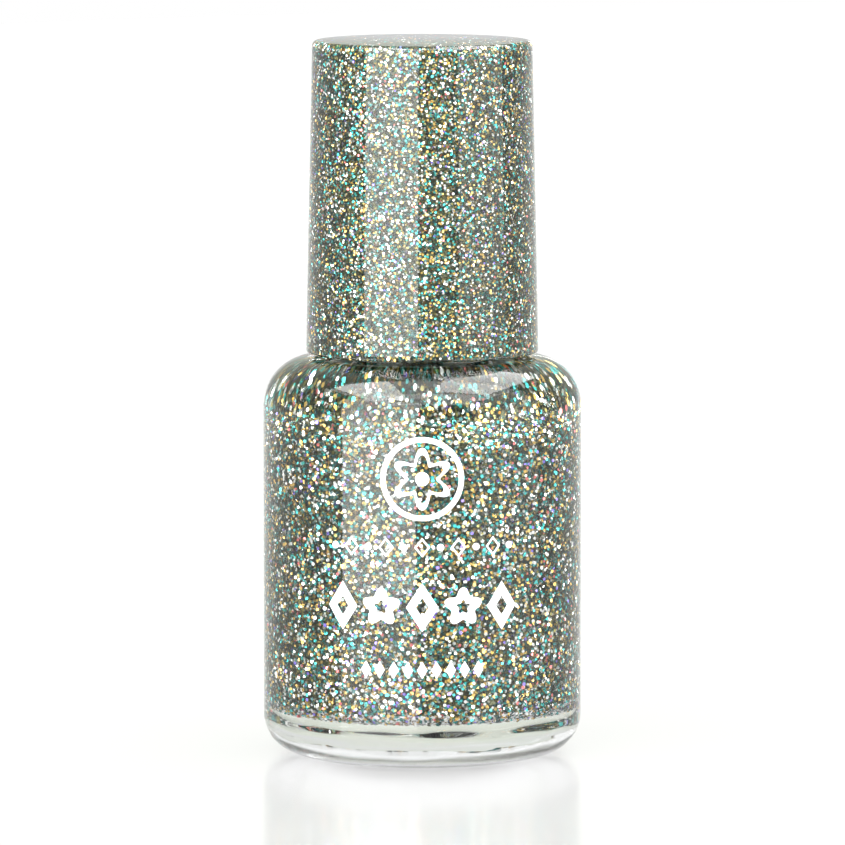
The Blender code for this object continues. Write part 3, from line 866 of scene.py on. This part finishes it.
class BOTTLE_OT_liner(bpy.types.Operator):
    """Cut the foam washer that seals the lip"""

    bl_idname = "bottle.liner"
    bl_label = "Sealing Liner"

    def execute(self, context):
        low, high, outer, hole = LINER_LOW.z, LINER_HIGH.z, LINER_HIGH.x, 1.9 * MM
        soft = 0.12 * MM
        outline = arc(hole + soft, high - soft, soft, 180, 90, 4)
        outline += arc(outer - soft, high - soft, soft, 90, 0, 4)
        outline += arc(outer - soft, low + soft, soft, 0, -90, 4)
        outline += arc(hole + soft, low + soft, soft, -90, -180, 4)
        form = spun(outline, INNER_STEPS, closed=True)
        make_piece("foam_liner", form, [foam_material()], "liner", ["sealing_liner"])
        return {"FINISHED"}


class BOTTLE_OT_brush(bpy.types.Operator):
    """Make the brush: its stem, the staple and the tuft of filaments"""

    bl_idname = "bottle.brush"
    bl_label = "Brush"

    def execute(self, context):
        dark, light, grain = (0.018, 0.018, 0.019), (0.035, 0.035, 0.037), 0.004 * MM
        black = moulded_plastic_material("stem_plastic", dark, light, grain)
        head, flange, thick, thin, soft = 2.2 * MM, STEM_HIGH.x, 1.6 * MM, 1.4 * MM, 0.15 * MM
        flange_low, flange_high, hole, hole_top = 39.7 * MM, 40.5 * MM, 1.05 * MM, 17.4 * MM
        outline = [(0, STEM_HIGH.z)] + arc(head - soft, STEM_HIGH.z - soft, soft, 90, 0, 4)
        outline += [(head, flange_high)] + arc(flange - soft, flange_high - soft, soft, 90, 0, 4)
        outline += arc(flange - soft, flange_low + soft, soft, 0, -90, 4) + [(thick, flange_low)]
        outline += straight(outline[-1], (thin, STEM_LOW.z + soft), 2 * MM)
        outline += arc(thin - soft, STEM_LOW.z + soft, soft, 0, -90, 4)
        outline += [(hole, STEM_LOW.z), (hole, hole_top), (0, hole_top)]
        make_piece("stem", spun(outline, 64), [black], "brush", ["brush_stem"])

        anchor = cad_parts["tuft_anchor"]
        anchor.data.materials.clear()
        anchor.data.materials.append(brass_material())

        form = bmesh.new()
        root_top, root, belly, belly_z, filament = TUFT_HIGH.z, 0.88 * MM, TUFT_HIGH.x, 9.0 * MM, 0.05 * MM
        dice = random.Random(5)
        total, roundness, raggedness = 190, 0.9, 0.5 * MM
        for i in range(total):
            across = sqrt((i + 0.5) / total)
            reach = root * across
            angle = i * GOLDEN_ANGLE
            tip = TUFT_LOW.z + (belly_z - TUFT_LOW.z) * (1 - sqrt(1 - roundness * across ** 2))
            tip += dice.uniform(0, raggedness)
            place = Matrix.Translation((reach * cos(angle), reach * sin(angle), (root_top + tip) / 2))
            made = bmesh.ops.create_cone(
                form, cap_ends=True, segments=5, radius1=0.4 * filament, radius2=filament,
                depth=root_top - tip, matrix=place,
            )["verts"]
            edges = {edge for vert in made for edge in vert.link_edges}
            upright = [e for e in edges if abs(e.verts[0].co.z - e.verts[1].co.z) > MM]
            bmesh.ops.subdivide_edges(form, edges=upright, cuts=5)
        fullest = (belly - filament) / (1.02 * root)
        for vert in form.verts:
            fall = min(1.0, max(0.0, (STEM_LOW.z - vert.co.z) / (STEM_LOW.z - belly_z)))
            swell = mix(1.0, fullest, sin(pi / 2 * fall))
            vert.co.x *= swell
            vert.co.y *= swell
        make_piece("tuft", form, [nylon_material()], "brush", ["bristles"])
        return {"FINISHED"}


class BOTTLE_OT_closure(bpy.types.Operator):
    """Mould the threaded closure inside the cap"""

    bl_idname = "bottle.closure"
    bl_label = "Closure"

    def execute(self, context):
        s = context.scene.bottle_sizes
        low, top, ceiling = CLOSURE_LOW.z, CLOSURE_HIGH.z, 40.8 * MM
        low_radius, top_radius, bore, socket, boss = 6.9 * MM, 6.5 * MM, 5.9 * MM, 2.3 * MM, 3.5 * MM
        socket_top, boss_top, web_top, soft = 45.9 * MM, 47.2 * MM, 42.2 * MM, 0.2 * MM
        well_foot, well_mouth = 5.8 * MM, 5.6 * MM
        outline = [(0, boss_top)] + arc(boss - 2 * soft, boss_top - 2 * soft, 2 * soft, 90, 0, 5)
        outline += [(boss, web_top), (well_foot, web_top), (well_mouth, top - soft)]
        outline += arc(well_mouth + soft, top - soft, soft, 180, 90, 4)
        outline += arc(top_radius - soft, top - soft, soft, 90, 0, 4)
        outline += straight(outline[-1], (low_radius, low + soft), 1 * MM)
        outline += arc(low_radius - soft, low + soft, soft, 0, -90, 4)
        outline += arc(bore + soft, low + soft, soft, -90, -180, 4)
        outline += straight(outline[-1], (bore, ceiling), 0.1 * MM)
        outline += [(bore, ceiling), (socket, ceiling), (socket, socket_top), (0, socket_top)]
        form = spun(outline, RIBS * 8)
        raise_thread(
            form, bore, -1, low + soft, ceiling,
            start=s.thread_start - s.thread_pitch / 2, pitch=s.thread_pitch, turns=THREAD_TURNS,
            half_width=s.thread_width, depth=s.thread_depth,
        )
        rib_height = 0.22 * MM
        for vert in form.verts:
            r = hypot(vert.co.x, vert.co.y)
            outside = mix(low_radius, top_radius, (vert.co.z - low) / (top - low))
            if r > outside - TOUCHING and low + MM < vert.co.z < top - MM:
                angle = Vector((1, 0)).angle_signed(Vector((vert.co.x, vert.co.y)), 0)
                rib = max(0.0, cos(RIBS * angle)) ** 2 * rib_height
                vert.co.x *= 1 + rib / r
                vert.co.y *= 1 + rib / r
        dark, light, grain = (0.72, 0.74, 0.7), (0.8, 0.82, 0.78), 0.006 * MM
        plastic = moulded_plastic_material("closure_plastic", dark, light, grain)
        make_piece("closure", form, [plastic], "cap", ["inner_cap"])
        return {"FINISHED"}


class BOTTLE_OT_stage(bpy.types.Operator):
    """Set the floor, the studio light and the camera"""

    bl_idname = "bottle.stage"
    bl_label = "Stage"

    def execute(self, context):
        stage = context.scene.bottle_stage
        self.floor(context)
        self.surroundings(context)
        self.softbox("key_softbox", stage.key, (-0.41, -0.655, 0.20), (0.87, 0.76))
        self.softbox("top_panel_right", stage.top, (0.40, 0.15, 0.80), (0.58, 1.1), level=True)
        self.softbox("top_panel_left", stage.top, (-0.45, -0.38, 0.80), (0.54, 0.9), level=True)
        self.softbox("top_fill", stage.fill, (0, -0.40, 0.90), (1.9, 0.9), level=True)
        self.softbox("right_card", stage.card, (0.62, -0.30, 0.20), (0.75, 0.80))
        self.softbox("front_fill", stage.front, (0.05, -0.60, 0.62), (1.0, 0.4))
        self.camera(context, stage)
        context.scene.view_settings.view_transform = "Standard"
        return {"FINISHED"}

    def floor(self, context):
        finish = Finish("floor_white", (0.08, 0.08, 0.08), 0.15)
        finish.set(Emission_Color=WHITE, Emission_Strength=0.54, Specular_IOR_Level=0.5)
        form = bmesh.new()
        place = Matrix.Translation(FLOOR_CENTRE)
        bmesh.ops.create_circle(form, cap_ends=True, segments=256, radius=FLOOR_RADIUS, matrix=place)
        mesh = bpy.data.meshes.new("floor")
        form.to_mesh(mesh)
        form.free()
        mesh.materials.append(finish.material)
        floor_piece = bpy.data.objects.new("floor", mesh)
        context.scene.collection.objects.link(floor_piece)

    def surroundings(self, context):
        """A pale backdrop all round, dimmest in front at mid height, which shows as plain white."""
        world = bpy.data.worlds.new("studio")
        world.use_nodes = True
        context.scene.world = world
        nodes, links = world.node_tree.nodes, world.node_tree.links
        coordinates = nodes.new("ShaderNodeTexCoord")
        parts = nodes.new("ShaderNodeSeparateXYZ")
        links.new(coordinates.outputs["Generated"], parts.inputs[0])
        shares = [
            self.spread(nodes, links, parts.outputs["Y"], FRONT_TO_BACK),
            self.spread(nodes, links, parts.outputs["Z"], LOW_TO_HIGH),
        ]
        strongest = nodes.new("ShaderNodeMath")
        strongest.operation = "MAXIMUM"
        for share, socket in zip(shares, strongest.inputs):
            links.new(share, socket)
        below = nodes.new("ShaderNodeMapRange")
        below.inputs["From Min"].default_value = BELOW_FROM
        below.inputs["From Max"].default_value = BELOW_TO
        links.new(parts.outputs["Z"], below.inputs["Value"])
        tint = nodes.new("ShaderNodeMix")
        tint.data_type = "RGBA"
        links.new(below.outputs["Result"], tint.inputs["Factor"])
        tint.inputs["A"].default_value = (*BACKDROP, 1)
        tint.inputs["B"].default_value = (*BACKDROP_BELOW, 1)
        backdrop = nodes.new("ShaderNodeVectorMath")
        backdrop.operation = "SCALE"
        links.new(tint.outputs["Result"], backdrop.inputs[0])
        links.new(strongest.outputs["Value"], backdrop.inputs["Scale"])
        path = nodes.new("ShaderNodeLightPath")
        seen = nodes.new("ShaderNodeMix")
        seen.data_type = "RGBA"
        links.new(path.outputs["Is Camera Ray"], seen.inputs["Factor"])
        links.new(backdrop.outputs["Vector"], seen.inputs["A"])
        seen.inputs["B"].default_value = WHITE
        links.new(seen.outputs["Result"], nodes["Background"].inputs["Color"])

    def spread(self, nodes, links, direction, stops):
        """Brightness by direction, from -1 to 1, through stops of (direction, brightness)."""
        halved = nodes.new("ShaderNodeMapRange")
        halved.inputs["From Min"].default_value = -1
        links.new(direction, halved.inputs["Value"])
        ramp = nodes.new("ShaderNodeValToRGB")
        while len(ramp.color_ramp.elements) < len(stops):
            ramp.color_ramp.elements.new(1.0)
        for element, (position, share) in zip(ramp.color_ramp.elements, stops):
            element.position = (position + 1) / 2
            element.color = (share, share, share, 1)
        links.new(halved.outputs["Result"], ramp.inputs["Fac"])
        return ramp.outputs["Color"]

    def softbox(self, name, brightness, place, size, level=False):
        """A rectangular light that faces the bottle, or straight down if it is level."""
        light = bpy.data.lights.new(name, "AREA")
        light.shape = "RECTANGLE"
        light.size, light.size_y = size
        light.energy = brightness * pi * size[0] * size[1]
        lamp = bpy.data.objects.new(name, light)
        lamp.location = place
        if not level:
            aim = Vector(LIGHTS_AIM) - Vector(place)
            lamp.rotation_euler = aim.to_track_quat("-Z", "Y").to_euler()
        lamp.visible_camera = False
        bpy.context.scene.collection.objects.link(lamp)

    def camera(self, context, stage):
        lens = bpy.data.cameras.new("camera")
        lens.sensor_width = 36
        lens.lens = lens.sensor_width * stage.camera_distance / stage.view_width
        lens.clip_start, lens.clip_end = 0.01, 50
        camera = bpy.data.objects.new("camera", lens)
        camera.location = (stage.aim_side, -stage.camera_distance, stage.camera_height)
        aim = Vector((stage.aim_side, 0, stage.aim_height)) - camera.location
        camera.rotation_euler = aim.to_track_quat("-Z", "Y").to_euler()
        context.scene.collection.objects.link(camera)
        context.scene.camera = camera


OPERATORS = (
    BOTTLE_OT_stage,
    BOTTLE_OT_glass,
    BOTTLE_OT_lacquer,
    BOTTLE_OT_lacquer_glitter,
    BOTTLE_OT_cap,
    BOTTLE_OT_cap_glitter,
    BOTTLE_OT_print,
    BOTTLE_OT_label,
    BOTTLE_OT_balls,
    BOTTLE_OT_liner,
    BOTTLE_OT_brush,
    BOTTLE_OT_closure,
)


class BOTTLE_PT_panel(bpy.types.Panel):
    """Lists the bottle's pieces in the sidebar"""

    bl_idname = "BOTTLE_PT_panel"
    bl_label = "Nail Polish Bottle"
    bl_space_type = "VIEW_3D"
    bl_region_type = "UI"
    bl_category = "Bottle"

    def draw(self, context):
        for operator in OPERATORS:
            self.layout.operator(operator.bl_idname)


SETTINGS = {
    "bottle_sizes": BottleSizes,
    "bottle_lacquer": LacquerSizes,
    "bottle_glitter": GlitterSettings,
    "bottle_cap": CapSizes,
    "bottle_stage": StageSettings,
}


def register():
    for group in (*SETTINGS.values(), *OPERATORS, BOTTLE_PT_panel):
        bpy.utils.register_class(group)
    for name, group in SETTINGS.items():
        setattr(bpy.types.Scene, name, bpy.props.PointerProperty(type=group))


def unregister():
    for name in SETTINGS:
        delattr(bpy.types.Scene, name)
    for group in (BOTTLE_PT_panel, *reversed(OPERATORS), *reversed(SETTINGS.values())):
        bpy.utils.unregister_class(group)


def main():
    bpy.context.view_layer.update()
    register()
    for operator in OPERATORS:
        family, name = operator.bl_idname.split(".")
        getattr(getattr(bpy.ops, family), name)()


if __name__ == "__main__":
    main()
